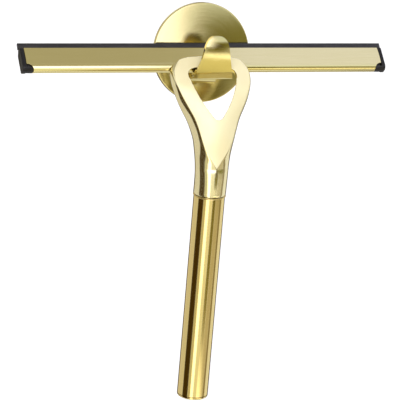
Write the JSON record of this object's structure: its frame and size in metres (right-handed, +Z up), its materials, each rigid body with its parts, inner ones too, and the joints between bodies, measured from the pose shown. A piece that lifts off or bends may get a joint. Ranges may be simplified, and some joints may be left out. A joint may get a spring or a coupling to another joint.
{
  "type": "window cleaning squeegee",
  "caption": "Brushed gold squeegee with a long rubber blade, hanging by the eye of its yoke on a round stick-on wall hook.",
  "frame": {"origin": "centre of the wall hook's back face, where the adhesive pad meets the wall", "axes": "+X along the blade, +Y into the wall, +Z up"},
  "size_m": [0.25, 0.0471, 0.263],
  "materials": {
    "satin_gold": "satin brushed gold on cast and rolled metal",
    "brushed_gold": "brushed gold tube with a fine grain",
    "plain_steel": "plain stainless steel",
    "black_rubber": "matt black silicone rubber",
    "black_plastic": "matt black moulded plastic",
    "pad_foam": "white foam adhesive pad"
  },
  "bodies": {
    "wall_mount": {"wall_hook": "satin_gold", "backing_plate": "plain_steel", "plate_screw_left": "plain_steel", "plate_screw_right": "plain_steel", "adhesive_pad": "pad_foam"},
    "squeegee": {"yoke": "satin_gold", "blade_cover": "satin_gold", "clamp_plate": "satin_gold", "handle_tube": "brushed_gold", "end_plug": "brushed_gold", "neck_ring": "brushed_gold", "neck_stud": "plain_steel", "tube_insert": "plain_steel", "blade_stiffener": "plain_steel", "head_screw_left": "plain_steel", "head_screw_right": "plain_steel", "clamp_screw_1": "plain_steel", "clamp_screw_2": "plain_steel", "clamp_screw_3": "plain_steel", "clamp_screw_4": "plain_steel", "rubber_blade": "black_rubber", "end_cap_left": "black_plastic", "end_cap_right": "black_plastic"}
  },
  "joints": [
    {"name": "lift_off", "type": "slide", "parent": "wall_mount", "child": "squeegee", "axis": [0, -0.1961, 0.9806], "range_m": [0, 0.06]}
  ]
}
